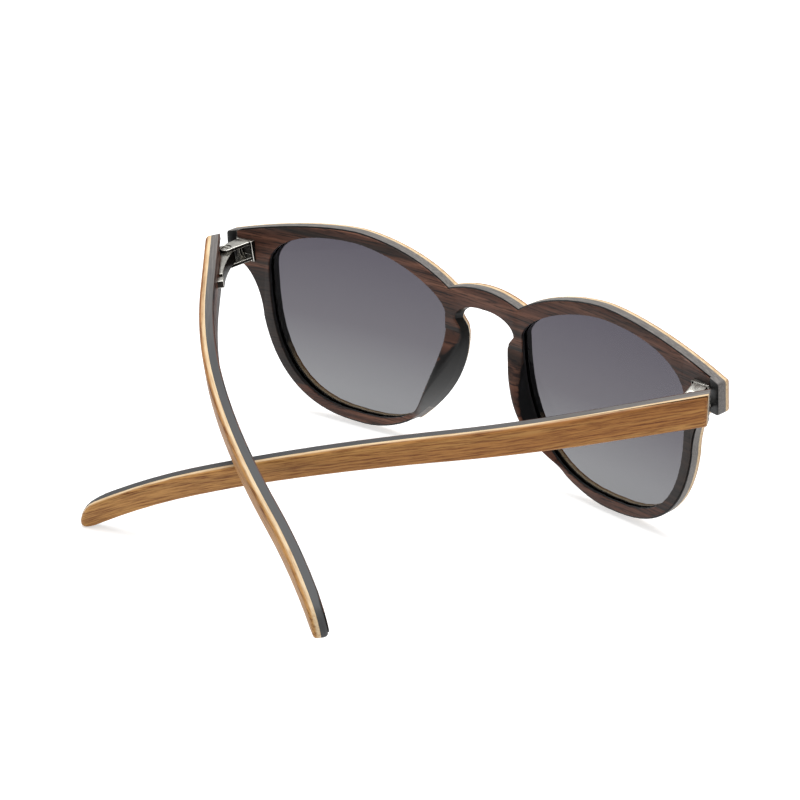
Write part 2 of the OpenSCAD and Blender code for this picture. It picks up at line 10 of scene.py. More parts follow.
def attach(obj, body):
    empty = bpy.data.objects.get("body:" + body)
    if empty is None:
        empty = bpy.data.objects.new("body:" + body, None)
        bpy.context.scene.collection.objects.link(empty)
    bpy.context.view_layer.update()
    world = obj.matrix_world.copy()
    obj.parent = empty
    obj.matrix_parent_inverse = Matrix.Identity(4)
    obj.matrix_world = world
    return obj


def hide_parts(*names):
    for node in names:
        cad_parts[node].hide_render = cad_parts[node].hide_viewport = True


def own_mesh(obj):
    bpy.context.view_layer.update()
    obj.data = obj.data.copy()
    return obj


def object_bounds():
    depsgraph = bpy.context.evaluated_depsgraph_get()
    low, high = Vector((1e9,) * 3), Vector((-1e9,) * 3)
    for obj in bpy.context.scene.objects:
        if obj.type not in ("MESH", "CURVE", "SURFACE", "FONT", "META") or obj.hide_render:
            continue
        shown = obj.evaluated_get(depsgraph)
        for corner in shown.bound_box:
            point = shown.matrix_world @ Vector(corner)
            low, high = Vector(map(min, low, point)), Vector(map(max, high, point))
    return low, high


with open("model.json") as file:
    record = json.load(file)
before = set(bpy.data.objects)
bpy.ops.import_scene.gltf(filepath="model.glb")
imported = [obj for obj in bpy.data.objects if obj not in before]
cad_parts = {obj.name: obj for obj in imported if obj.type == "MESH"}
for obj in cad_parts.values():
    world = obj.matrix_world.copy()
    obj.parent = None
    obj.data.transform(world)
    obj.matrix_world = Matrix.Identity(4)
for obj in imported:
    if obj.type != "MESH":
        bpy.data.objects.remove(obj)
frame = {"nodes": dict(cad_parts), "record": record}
cad_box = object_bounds()


# Outer ply of the front: oak veneer bent over a mould and glued to the black ply. Its face is oiled
# to a honey tone, and its edges are sanded round and pale. Named sizes are in mm in every section.
MM = 0.001
BEND, FRONT_T = 340.0, 3.6  # radius of the front's back face, and its three plies together
LENS_X, LENS_Z = 35.79, -3.0  # middle of the right-hand lens opening
REACH_IN, REACH_OUT, REACH_UP, REACH_DOWN = 24.79, 24.01, 10.3, 29.8  # from there to its edge
FULL_UP_OUT, FULL_UP_IN, FULL_LOW_IN, FULL_LOW_OUT = 2.2, 1.6, 2.4, 2.75  # its quarters' powers
IN_OPENING = 1.02  # the opening level under which a point counts as in a lens opening
SKIN = 0.02  # how near to a face a point counts as on it
FACING_EASE = 0.75
BRIDGE_HALF, NOSE_TOP = 9, -2  # half the bridge's width, and the height that the nose comes up to
NOSE_SHARP, NOSE_EASED = 14, 18  # from the middle, where the nose opening's edge is sharp and eased
OAK_BELOW, WALL_SHADE_ABOVE = -26, -20  # heights between which the painted shade on the openings' walls thins out to the oak
UPRIGHT = 0.3  # most that a wall's normal points forwards or back


def linear(hex_colour):
    """sRGB hex to linear RGBA: each channel is c/12.92 or ((c+0.055)/1.055)^2.4."""
    c = np.array([int(hex_colour[i:i + 2], 16) for i in (1, 3, 5)]) / 255
    rgb = np.where(c <= 0.04045, c / 12.92, ((c + 0.055) / 1.055) ** 2.4)
    return (*rgb.tolist(), 1.0)


def node(tree, kind, links=None, stops=None, **settings):
    """Adds one shader node, sets its properties, links or fills its sockets, and sets its ramp."""
    made = tree.nodes.new("ShaderNode" + kind)
    for key, value in settings.items():
        setattr(made, key, value)
    for socket, value in (links or {}).items():
        if isinstance(value, bpy.types.NodeSocket):
            tree.links.new(value, made.inputs[socket])
        else:
            made.inputs[socket].default_value = value
    if stops:
        ramp = made.color_ramp
        while len(ramp.elements) < len(stops):
            ramp.elements.new(0.5)
        for element, (place, colour) in zip(ramp.elements, stops):
            element.position = place
            element.color = linear(colour)
    return made


def material(name):
    """A new material with only its shader and output; returns it with its tree and shader."""
    made = bpy.data.materials.new(name)
    made.use_nodes = True
    return made, made.node_tree, made.node_tree.nodes["Principled BSDF"]


def points_of(mesh):
    """The mesh's vertices in millimetres, one row each."""
    flat = np.empty(len(mesh.vertices) * 3, np.float32)
    mesh.vertices.foreach_get("co", flat)
    return flat.reshape(-1, 3).astype(float) / MM


def put_points(mesh, p):
    """Moves the mesh's vertices to the points, given in millimetres."""
    mesh.vertices.foreach_set("co", (p * MM).astype(np.float32).ravel())


def faces_of(mesh, what):
    """The faces' centres in metres or their normals, one row each."""
    flat = np.empty(len(mesh.polygons) * 3, np.float32)
    mesh.polygons.foreach_get(what, flat)
    return flat.reshape(-1, 3).astype(float)


def front_arc(p):
    """Arc length of points round the front's bend, from its middle: R atan2(x, y + R)."""
    return BEND * np.arctan2(p[:, 0], p[:, 1] + BEND)


def front_depth(p):
    """Depth of points in front of the bent back face: distance from the bend's axis, less R."""
    return np.hypot(p[:, 0], p[:, 1] + BEND) - BEND


def laid_flat(p):
    """The bent front unrolled to arc length, depth and height. The depth is rounded to 0.01 mm, so
    that each ply's faces come out flat."""
    return np.stack([front_arc(p), np.round(front_depth(p), 2), p[:, 2]], axis=1)


def bent(p):
    """The inverse of laid_flat: x = (R + depth) sin(arc / R), y = (R + depth) cos(arc / R) - R."""
    return np.stack([(BEND + p[:, 1]) * np.sin(p[:, 0] / BEND),
                     (BEND + p[:, 1]) * np.cos(p[:, 0] / BEND) - BEND, p[:, 2]], axis=1)


def opening_level(p):
    """1 on the edge of a lens opening and less inside it: the sum of |x/rx|^n and |z/rz|^n, with
    the reach and the power of the quarter that the point lies in. The two openings are mirrored."""
    x, z = np.abs(p[:, 0]) - LENS_X, p[:, 2] - LENS_Z
    reach_x = np.where(x >= 0, REACH_OUT, REACH_IN)
    reach_z = np.where(z >= 0, REACH_UP, REACH_DOWN)
    power = np.where(z >= 0, np.where(x >= 0, FULL_UP_OUT, FULL_UP_IN),
                     np.where(x >= 0, FULL_LOW_OUT, FULL_LOW_IN))
    return np.abs(x / reach_x) ** power + np.abs(z / reach_z) ** power


FACET = math.radians(30)  # facets that meet at a smaller angle are one smooth surface
LEVEL = math.radians(0.1)  # facets that meet at a smaller angle become one face
MERGE, SLIVER = 2e-6, 1e-6  # in metres: points this close are one, and faces this narrow go
BEND_STEP, BEND_TO = 2.0, 72.0  # width of a strip of the front, and the arc that the strips reach


def eased(name, radius, on_edge, *finishes, flat=False):
    """A merged copy of a CAD node, smooth where its facets meet at under 30 degrees. Its sharp
    edges are rounded by a bevel of the radius in mm times the lesser share that on_edge gives their
    ends. Of two finishes, the first is for the flats and the second for the rounded edges. A ply of
    the front is eased while it lies flat, and is then cut into strips 2 mm wide and bent again."""
    mesh = frame["nodes"][name].data.copy()
    mesh.materials.clear()
    for finish in finishes:
        mesh.materials.append(finish)
    work = bmesh.new()
    work.from_mesh(mesh)
    bmesh.ops.remove_doubles(work, verts=work.verts, dist=MERGE)
    work.to_mesh(mesh)
    if flat:
        put_points(mesh, laid_flat(points_of(mesh)))
    work.clear()
    work.from_mesh(mesh)
    bmesh.ops.dissolve_limit(work, angle_limit=LEVEL, verts=work.verts, edges=work.edges)
    work.to_mesh(mesh)
    if "custom_normal" in mesh.attributes:
        mesh.attributes.remove(mesh.attributes["custom_normal"])
    mesh.shade_smooth()
    mesh.set_sharp_from_angle(angle=FACET)
    sharp = np.empty(len(mesh.edges), bool)
    mesh.attributes["sharp_edge"].data.foreach_get("value", sharp)
    ends = np.empty(len(mesh.edges) * 2, np.int32)
    mesh.edges.foreach_get("vertices", ends)
    places = bent(points_of(mesh)) if flat else points_of(mesh)
    share = sharp * on_edge(places).astype(float)[ends.reshape(-1, 2)].min(axis=1)
    weight = mesh.attributes.new("bevel_weight_edge", "FLOAT", "EDGE")
    weight.data.foreach_set("value", share.astype(np.float32))
    piece = bpy.data.objects.new(name + "_eased", mesh)
    bpy.context.scene.collection.objects.link(piece)
    bevel = piece.modifiers.new("ease", "BEVEL")
    bevel.width = radius * MM
    bevel.segments = 3
    bevel.material = len(finishes) - 1
    bevel.limit_method = "WEIGHT"
    bevel.use_clamp_overlap = False
    graph = bpy.context.evaluated_depsgraph_get()
    piece.data = bpy.data.meshes.new_from_object(piece.evaluated_get(graph))
    piece.modifiers.clear()
    if flat:
        work.clear()
        work.from_mesh(piece.data)
        for arc in np.arange(-BEND_TO, BEND_TO + 1, BEND_STEP):
            bmesh.ops.bisect_plane(work, geom=work.verts[:] + work.edges[:] + work.faces[:],
                                   plane_co=(arc * MM, 0, 0), plane_no=(1, 0, 0))
        # faces of no width are left where the strips' edges run close to others
        bmesh.ops.remove_doubles(work, verts=work.verts, dist=SLIVER)
        bmesh.ops.dissolve_degenerate(work, dist=SLIVER, edges=work.edges)
        work.to_mesh(piece.data)
        put_points(piece.data, bent(points_of(piece.data)))
    work.free()
    piece.data.set_sharp_from_angle(angle=FACET)
    return piece


def lay_grain(piece, along, across, depth):
    """Stores each vertex's place in its ply: along the grain, across it, and under the face."""
    layer = piece.data.attributes.new("grain", "FLOAT_VECTOR", "POINT")
    places = np.stack([along, across, depth], axis=1)
    layer.data.foreach_set("vector", places.astype(np.float32).ravel())


def front_grain(piece):
    """Grain of the front: arc length round the bend, height, and depth under the outer face."""
    p = points_of(piece.data)
    lay_grain(piece, front_arc(p), p[:, 2], FRONT_T - front_depth(p))


def settle(piece, body, name, slot, *finishes):
    """Gives a finished piece its materials and its body, and hides the CAD node it stands for. The
    slot is not used.
    """
    for finish in finishes:
        piece.data.materials.append(finish)
    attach(piece, body)
    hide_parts(name)


def facing_edge(p):
    """Share of the easing on the outer face's edges: all of it outside, half round the openings and
    on the bridge, and none in the nose opening, rising again from 14 to 18 mm from the middle."""
    across, inside = np.abs(p[:, 0]), opening_level(p) < IN_OPENING
    share = np.where(inside | (across < BRIDGE_HALF), 0.5, 1.0)
    rising = np.clip((across - NOSE_SHARP) / (NOSE_EASED - NOSE_SHARP), 0, 1)
    share = np.where((p[:, 2] < NOSE_TOP) & ~inside, share * rising, share)
    return share * (front_depth(p) > FRONT_T - SKIN)


# Oiled oak gives the eye a honey ground, darker bands about 2 mm wide, and fine dark pores along
# the grain, drawn 0.35 mm wide, twice their real width, so that they show. The edge is paler.
PORE = 0.35
oak, tree, shader = material("oiled_oak_veneer")
grain = node(tree, "Attribute", attribute_name="grain").outputs["Vector"]
bands = node(tree, "Mapping", {"Vector": grain, "Scale": (1 / 90, 1 / 2.2, 1 / 2)})
figure = node(tree, "TexNoise", {"Vector": bands.outputs[0], "Scale": 1.0, "Detail": 4.0,
                                 "Distortion": 0.4})
honey = node(tree, "ValToRGB", {"Fac": figure.outputs[0]},
             [(0.3, "#96642f"), (0.45, "#a86e35"), (0.58, "#b67c3f"), (0.75, "#c69353")])
# the sheet is paler towards the arms' ends
reach = node(tree, "SeparateXYZ", {"Vector": node(tree, "TexCoord").outputs["Object"]}).outputs["Y"]
fade = node(tree, "MapRange", {"Value": reach, "From Min": -85 * MM, "From Max": -35 * MM,
                               "To Min": 0.5, "To Max": 0.0})
honey = node(tree, "Mix", {0: fade.outputs[0], 6: honey.outputs[0], 7: linear("#e0b06c")},
             data_type="RGBA")
lines = node(tree, "Mapping", {"Vector": grain, "Scale": (1 / 8, 1 / PORE, 1 / 0.4)})
pores = node(tree, "TexNoise", {"Vector": lines.outputs[0], "Scale": 1.0, "Detail": 4.0,
                                "Roughness": 0.7})
pore_tone = node(tree, "ValToRGB", {"Fac": pores.outputs[0]},
                 [(0.33, "#8c6743"), (0.56, "#ffffff")])
face = node(tree, "Mix", {0: 1.0, 6: honey.outputs[2], 7: pore_tone.outputs[0]},
            data_type="RGBA", blend_type="MULTIPLY")
pale = node(tree, "ValToRGB", {"Fac": pores.outputs[0]}, [(0.3, "#c9a273"), (0.62, "#efd7b0")])
under = node(tree, "SeparateXYZ", {"Vector": grain}).outputs["Z"]
edge = node(tree, "MapRange", {"Value": under, "From Min": 0.4, "From Max": 0.95},
            interpolation_type="SMOOTHSTEP")
tone = node(tree, "Mix", {0: edge.outputs[0], 6: face.outputs[2], 7: pale.outputs[0]},
            data_type="RGBA")
# painted shade on the openings' walls: near black, laid over the oak
black = node(tree, "Attribute", attribute_name="painted_wall_shade").outputs["Fac"]
tone = node(tree, "Mix", {0: black, 6: tone.outputs[2], 7: linear("#171717")}, data_type="RGBA")
tree.links.new(tone.outputs[2], shader.inputs["Base Color"])
shader.inputs["Specular IOR Level"].default_value = 0.3
gloss = node(tree, "MapRange", {"Value": pores.outputs[0], "To Min": 0.6, "To Max": 0.4})
tree.links.new(gloss.outputs[0], shader.inputs["Roughness"])
relief = node(tree, "Bump", {"Height": pores.outputs[0], "Strength": 0.25, "Distance": 0.1 * MM})
tree.links.new(relief.outputs[0], shader.inputs["Normal"])

front_facing = eased("front_facing", FACING_EASE, facing_edge, flat=True)
front_grain(front_facing)
# painted shade: the walls of the lens openings are near black where they face away from the light;
# low down, where they face up into it, the oak shows
spots = faces_of(front_facing.data, "center") / MM
upright = np.abs(faces_of(front_facing.data, "normal")[:, 1]) < UPRIGHT
walls = (opening_level(spots) < IN_OPENING) & upright
wall_shade_fade = np.clip((spots[:, 2] - OAK_BELOW) / (WALL_SHADE_ABOVE - OAK_BELOW), 0, 1)
layer = front_facing.data.attributes.new("painted_wall_shade", "FLOAT", "FACE")
layer.data.foreach_set("value", (walls * wall_shade_fade).astype(np.float32))
settle(front_facing, "front", "front_facing", "light_oak", oak)

# Middle ply of the front: veneer dyed black right through, grooved for the lenses and let through
# to the back at both ends. Its outer edges are sanded matt; what lies in shade gets painted shade.
CORE_EASE, VENEER_T = 0.3, 0.3
ENDS_FROM = 67.5  # the ends that show at the back start this far from the middle
GROOVED = 1.06  # the opening level under which a face counts as in an opening or its groove
NOSE_HALF, NOSE_ROOF = 17, -0.3  # half width and top of the nose opening that gets the painted shade
BACKWARDS = -0.8  # a face with a normal beyond this faces the wearer

# Dyed ply sanded through its dye gives the eye a slate grey with fine lines, as wide as the oak's.
slate, tree, shader = material("black_dyed_ply")
grain = node(tree, "Attribute", attribute_name="grain").outputs["Vector"]
lines = node(tree, "Mapping", {"Vector": grain, "Scale": (1 / 9, 1 / PORE, 1 / PORE)})
grit = node(tree, "TexNoise", {"Vector": lines.outputs[0], "Scale": 1.0, "Detail": 4.0,
                               "Roughness": 0.65})
tone = node(tree, "ValToRGB", {"Fac": grit.outputs[0]},
            [(0.3, "#565250"), (0.5, "#6c6865"), (0.72, "#8a847f")])
# the arms keep the paler slate near the hinges as a painted sheen, where light glances along them,
# and are darker towards their ends
reach = node(tree, "SeparateXYZ", {"Vector": node(tree, "TexCoord").outputs["Object"]}).outputs["Y"]
sheen_fade = node(tree, "MapRange", {"Value": reach, "From Min": -48 * MM, "From Max": -14 * MM,
                                "To Min": 0.9, "To Max": 0.0})
tone = node(tree, "Mix", {0: sheen_fade.outputs[0], 6: tone.outputs[0], 7: linear("#393b3d")},
            data_type="RGBA")
tree.links.new(tone.outputs[2], shader.inputs["Base Color"])
gloss = node(tree, "MapRange", {"Value": grit.outputs[0], "To Min": 0.45, "To Max": 0.6})
tree.links.new(gloss.outputs[0], shader.inputs["Roughness"])

# Painted shade for the black ply's walls and recesses: a deep black with soft reflections, uneven
# every 3 mm or so.
shade_black, tree, shader = material("painted_shade_black")
place = node(tree, "TexCoord").outputs["Object"]
wave = node(tree, "TexNoise", {"Vector": place, "Scale": 1 / (3 * MM), "Detail": 2.0})
tone = node(tree, "ValToRGB", {"Fac": wave.outputs[0]}, [(0.3, "#101010"), (0.7, "#1b1b1b")])
tree.links.new(tone.outputs[0], shader.inputs["Base Color"])
shader.inputs["Specular IOR Level"].default_value = 0.3
gloss = node(tree, "MapRange", {"Value": wave.outputs[0], "To Min": 0.28, "To Max": 0.42})
tree.links.new(gloss.outputs[0], shader.inputs["Roughness"])

front_core = eased("front_core", CORE_EASE, lambda p: (front_depth(p) < VENEER_T + SKIN)
                   & (np.abs(p[:, 0]) > ENDS_FROM), flat=True)
front_grain(front_core)
settle(front_core, "front", "front_core", "black_core", slate, shade_black)
# painted shade, near black, on the walls of the lens openings, in the nose opening, and on what
# faces the wearer
spots = faces_of(front_core.data, "center") / MM
in_nose = (np.abs(spots[:, 0]) < NOSE_HALF) & (spots[:, 2] < NOSE_ROOF)
behind = faces_of(front_core.data, "normal")[:, 1] < BACKWARDS
in_shade = (opening_level(spots) < GROOVED) | in_nose | behind
front_core.data.polygons.foreach_set("material_index", in_shade.astype(np.int32))

# Inner ply of the front: dark rosewood veneer on the wearer's side, glued over the black ply
# between its ends and eased along the outer edge.
VENEER_EASE, VENEER_EASED_TO = 0.2, 62


def rosewood_tone(tree, crowding):
    """Colour of the rosewood and the height of its pores, from the grain: brown bands 1.5 mm wide,
    black stripes 3 mm wide that crowd by a share, most from 10 to 25 mm below the hinges' height,
    and pores drawn as wide as the oak's, so that they show."""
    grain = node(tree, "Attribute", attribute_name="grain").outputs["Vector"]
    bands = node(tree, "Mapping", {"Vector": grain, "Scale": (1 / 40, 1 / 1.5, 1 / 4)})
    figure = node(tree, "TexNoise", {"Vector": bands.outputs[0], "Scale": 1.0, "Detail": 5.0,
                                     "Distortion": 0.4})
    brown = node(tree, "ValToRGB", {"Fac": figure.outputs[0]},
                 [(0.3, "#301e16"), (0.45, "#503125"), (0.58, "#6b4636"), (0.75, "#845b47")])
    wide = node(tree, "Mapping", {"Vector": grain, "Scale": (1 / 90, 1 / 3, 1 / 8),
                                  "Location": (3, 1, 0)})
    stripe = node(tree, "TexNoise", {"Vector": wide.outputs[0], "Scale": 1.0, "Detail": 3.0,
                                     "Distortion": 0.8})
    height = node(tree, "SeparateXYZ", {"Vector": grain}).outputs["Y"]
    level = node(tree, "MapRange", {"Value": height, "From Min": -35.0, "From Max": 10.0})
    dense = node(tree, "ValToRGB", {"Fac": level.outputs[0]},
                 [(0.1, "#404040"), (0.22, "#c0c0c0"), (0.55, "#c0c0c0"), (0.68, "#404040")])
    crowd = node(tree, "Math", {0: dense.outputs[0], 1: crowding, 2: stripe.outputs[0]},
                 operation="MULTIPLY_ADD")
    dark = node(tree, "MapRange", {"Value": crowd.outputs[0], "From Min": 0.55, "From Max": 0.75,
                                   "To Max": 0.88})
    tone = node(tree, "Mix", {0: dark.outputs[0], 6: brown.outputs[0], 7: linear("#171513")},
                data_type="RGBA")
    lines = node(tree, "Mapping", {"Vector": grain, "Scale": (1 / 6, 1 / PORE, 1 / 2)})
    pores = node(tree, "TexNoise", {"Vector": lines.outputs[0], "Scale": 1.0, "Detail": 3.0,
                                    "Roughness": 0.6})
    pore_tone = node(tree, "ValToRGB", {"Fac": pores.outputs[0]},
                     [(0.36, "#6a5a54"), (0.5, "#ffffff")])
    tone = node(tree, "Mix", {0: 1.0, 6: tone.outputs[2], 7: pore_tone.outputs[0]},
                data_type="RGBA", blend_type="MULTIPLY")
    return tone.outputs[2], pores.outputs[0]


# Rosewood gives the eye a reddish brown with black stripes, which close up half way down the rims.
rosewood, tree, shader = material("dark_rosewood_veneer")
tone, pores = rosewood_tone(tree, 1.0)
tree.links.new(tone, shader.inputs["Base Color"])
shader.inputs["Specular IOR Level"].default_value = 0.3
gloss = node(tree, "MapRange", {"Value": pores, "To Min": 0.55, "To Max": 0.42})
tree.links.new(gloss.outputs[0], shader.inputs["Roughness"])
relief = node(tree, "Bump", {"Height": pores, "Strength": 0.2, "Distance": 0.1 * MM})
tree.links.new(relief.outputs[0], shader.inputs["Normal"])

front_veneer = eased("front_veneer", VENEER_EASE, lambda p: (front_depth(p) < SKIN)
                     & (opening_level(p) > IN_OPENING) & (np.abs(p[:, 0]) < VENEER_EASED_TO),
                     flat=True)
front_grain(front_veneer)
settle(front_veneer, "front", "front_veneer", "dark_rosewood", rosewood)

# Nose pads: black ply built up on the back of the front and carved to the nose, with rosewood
# veneer left on the ridge and sanded through at its height.
PAD_TOP, PAD_LONG, PAD_HIGH, PAD_SKEW, PAD_CUT = 6.4, 24.0, 4.0, 1.2, 0.015
NOSE_X, NOSE_DROP, NOSE_FLARE, SHOULDER = 5.9, 7.2, 37.0, 3.1 ** 2 / 1.8  # the nose's two parabolas
SPLAY, BEVEL_AT = math.radians(24), 1.9  # slant of the nose side, and the depth that it turns on
RIDGE_ROUND, ROUND_OF_WIDTH, ROUND_OF_HEIGHT = 1.1, 0.45, 0.8  # rounding, and its most as shares
PAD_ROWS, LEG_STEPS, PAD_CREASE = 61, 9, math.radians(40)
KEPT_TOP, KEPT_FALL = 1.4, 4  # the veneer's width at the top and its fall, as shares of the ridge's
OPENS_AT, OPENS_OVER, OPENS_TO = 0.5, 0.25, 1.6  # where it widens again, over how much, how far
TOP_END, TOP_RUN, LOW_END, LOW_RUN = 0.14, 12, 0.6, 8  # ends where it runs down the nose side
FADE_ACROSS, FADE_DOWN = 1.2, 0.8  # widths over which it is sanded out
DRAWN_OUT = 0.35


def nose_pad(name, side, kept):
    """A pad as sections stacked down its length. At each height the section goes up the wall of the
    lens opening, over the ridge, whose height is a skewed half sine, and down the nose's splay.
    Both corners are parabolas, p + r (1-t)^2 a + r t^2 b, from one leg of the corner to the other.
    The veneer left on it starts as wide as the ridge, falls to the kept share of that width, and
    opens again from half way down."""
    w = np.linspace(0, 1, PAD_ROWS)[:, None]
    z = -PAD_TOP - PAD_LONG * (PAD_CUT + (1 - 2 * PAD_CUT) * w)
    high = PAD_HIGH * np.sin(np.pi * w ** PAD_SKEW)
    back = lambda x: np.sqrt(BEND ** 2 - x ** 2) - BEND
    flank = NOSE_X + (NOSE_DROP + z) ** 2 / np.where(z > -NOSE_DROP, SHOULDER, NOSE_FLARE)
    fall = (np.abs(z - LENS_Z) / REACH_DOWN) ** FULL_LOW_IN
    wall_x = LENS_X - REACH_IN * (1 - fall) ** (1 / FULL_LOW_IN)
    nose_at = lambda y: flank + (BEVEL_AT - y) * math.tan(SPLAY)
    ridge_x = nose_at(back(nose_at(-high)) - high)
    top = np.stack([wall_x, back(wall_x) - high], axis=2)
    crest = np.stack([ridge_x, back(ridge_x) - high], axis=2)
    base = np.stack([wall_x, back(wall_x) + VENEER_T], axis=2)
    foot_x = nose_at(back(flank) + VENEER_T)
    foot = np.stack([foot_x, back(foot_x) + VENEER_T], axis=2)
    unit = lambda v: v / np.linalg.norm(v, axis=2, keepdims=True)
    room = np.minimum(ROUND_OF_WIDTH * (wall_x - ridge_x), ROUND_OF_HEIGHT * (high + VENEER_T))
    r = np.minimum(RIDGE_ROUND, room)[:, :, None]
    t = np.linspace(0, 1, LEG_STEPS)[None, :, None]
    outer = top + r * ((1 - t) ** 2 * unit(base - top) + t ** 2 * unit(crest - top))
    inner = crest + r * ((1 - t) ** 2 * unit(top - crest) + t ** 2 * unit(foot - crest))
    wall = base + (outer[:, :1] - base) * t[:, :-1]
    nose = inner[:, -1:] + (foot - inner[:, -1:]) * t[:, 1:]
    section = np.concatenate([wall, outer, inner, nose], axis=1)
    count, ring = section.shape[:2]
    heights = np.broadcast_to(z[:, :, None], (count, ring, 1))
    p = np.concatenate([section, heights], axis=2).reshape(-1, 3)
    p[:, 0] *= side
    i, j = np.meshgrid(np.arange(count - 1), np.arange(ring), indexing="ij")
    a, b = i * ring + j, i * ring + (j + 1) % ring
    quads = np.stack([a, b, b + ring, a + ring], axis=2).reshape(-1, 4)
    ends = [list(range(ring))[::-1], list(range((count - 1) * ring, count * ring))]
    if side < 0:
        quads = quads[:, ::-1]
        ends = [end[::-1] for end in ends]
    mesh = bpy.data.meshes.new(name)
    mesh.from_pydata((p * MM).tolist(), [], quads.tolist() + ends)
    mesh.shade_smooth()
    mesh.set_sharp_from_angle(angle=PAD_CREASE)
    piece = bpy.data.objects.new(name, mesh)
    bpy.context.scene.collection.objects.link(piece)
    # the veneer keeps to the lens's side of the ridge; near both ends it runs on down the nose side
    wide = (np.clip(KEPT_TOP - KEPT_FALL * (1 - kept) * w, kept, 1)
            + np.clip((w - OPENS_AT) / OPENS_OVER, 0, OPENS_TO - kept))
    off = wall_x - section[:, :, 0] - (wall_x - ridge_x) * wide
    low = (section[:, :, 1] - (back(section[:, :, 0]) - high)
           - TOP_RUN * np.clip(TOP_END - w, 0, 1) - LOW_RUN * np.clip(w - LOW_END, 0, 1))
    veneer = np.clip(0.5 - off / FADE_ACROSS, 0, 1) * np.clip(1.2 - low / FADE_DOWN, 0, 1)
    layer = mesh.attributes.new("veneer_left", "FLOAT", "POINT")
    layer.data.foreach_set("value", veneer.astype(np.float32).ravel())
    # the slanting cut through the plies draws the figure out to about three times its width
    lay_grain(piece, p[:, 0], DRAWN_OUT * p[:, 2], FRONT_T - front_depth(p))
    return piece


# Carved pad gives the eye smooth satin black, with a ragged strip of brown veneer on its ridge.
carved, tree, shader = material("carved_black_and_rosewood")
brown, pores = rosewood_tone(tree, 0.2)
share = node(tree, "Attribute", attribute_name="veneer_left").outputs["Fac"]
cut = node(tree, "Math", {0: share, 1: pores}, operation="ADD")
brown_here = node(tree, "MapRange", {"Value": cut.outputs[0], "From Min": 0.75, "From Max": 1.2})
tone = node(tree, "Mix", {0: brown_here.outputs[0], 6: linear("#0b0b0b"), 7: brown},
            data_type="RGBA")
tree.links.new(tone.outputs[2], shader.inputs["Base Color"])
shader.inputs["Specular IOR Level"].default_value = 0.3
gloss = node(tree, "MapRange", {"Value": brown_here.outputs[0], "To Min": 0.34, "To Max": 0.5})
tree.links.new(gloss.outputs[0], shader.inputs["Roughness"])

for side, sign, kept in (("left", -1, 0.0), ("right", 1, 0.6)):
    pad = nose_pad(f"carved_nose_pad_{side}", sign, kept)
    settle(pad, "front", f"nose_pad_{side}", "black_core", carved)
    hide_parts(f"nose_veneer_{side}")

# Lenses: grey polarised sheet 1 mm thick, bent with the front and held in the black ply's groove.
# The tint is a smooth grey, darker and a little violet towards the top.
LENS_EASE, LENS_LOW, LENS_TOP = 0.1, -33, 8  # the heights are those that the tint runs between


def no_edge(p):
    """Share of the easing where no edge is eased: 0 at every point."""
    return np.zeros(len(p), bool)


tinted, tree, shader = material("grey_gradient_lens")
place = node(tree, "TexCoord").outputs["Object"]
height = node(tree, "SeparateXYZ", {"Vector": place}).outputs["Z"]
level = node(tree, "MapRange", {"Value": height, "From Min": LENS_LOW * MM,
                                "From Max": LENS_TOP * MM})
tint = node(tree, "ValToRGB", {"Fac": level.outputs[0]},
            [(0.0, "#828385"), (0.5, "#605e63"), (1.0, "#4e4b53")])
tree.links.new(tint.outputs[0], shader.inputs["Base Color"])
shader.inputs["Transmission Weight"].default_value = 1.0
shader.inputs["Roughness"].default_value = 0.0
# the inner face is coated against reflections, so it mirrors about as much as an IOR of 1.1 does
shader.inputs["IOR"].default_value = 1.1
for side in ("left", "right"):
    lens = eased(f"lens_{side}", LENS_EASE, no_edge)
    settle(lens, "front", f"lens_{side}", "tinted_lens", tinted)

# Hinges: nickel plated steel. A tray with two ears is let into the front, and a knuckle with a fin
# turns between the ears on a slotted screw. The fin's shaft runs in a sprung case in the arm.
HINGE_EASE, SPRING_EASE = 0.12, 0.05
UP_OR_DOWN = 0.7  # a face whose normal points up or down more than this keeps the bright nickel; the others get the painted dark reflection

# Polished nickel gives the eye a warm pale shine, rubbed a little uneven every 2 mm or so.
nickel, tree, shader = material("nickel_plated_steel")
place = node(tree, "TexCoord").outputs["Object"]
rub = node(tree, "TexNoise", {"Vector": place, "Scale": 1 / (2 * MM), "Detail": 2.0})
tone = node(tree, "ValToRGB", {"Fac": rub.outputs[0]}, [(0.35, "#c4c1b9"), (0.65, "#d8d6cf")])
tree.links.new(tone.outputs[0], shader.inputs["Base Color"])
gloss = node(tree, "MapRange", {"Value": rub.outputs[0], "To Min": 0.2, "To Max": 0.3})
tree.links.new(gloss.outputs[0], shader.inputs["Roughness"])
shader.inputs["Metallic"].default_value = 1.0

# Painted reflection: each face of the steel that doesn't look up or down is near black, with a dull
# sheen that changes every 1.5 mm or so, for the dark frame that these sides mirror.
dark_side_steel, tree, shader = material("steel_painted_dark_sides")
place = node(tree, "TexCoord").outputs["Object"]
film = node(tree, "TexNoise", {"Vector": place, "Scale": 1 / (1.5 * MM), "Detail": 3.0})
tone = node(tree, "ValToRGB", {"Fac": film.outputs[0]}, [(0.35, "#211f1d"), (0.65, "#36332f")])
tree.links.new(tone.outputs[0], shader.inputs["Base Color"])
gloss = node(tree, "MapRange", {"Value": film.outputs[0], "To Min": 0.35, "To Max": 0.5})
tree.links.new(gloss.outputs[0], shader.inputs["Roughness"])
shader.inputs["Metallic"].default_value = 1.0

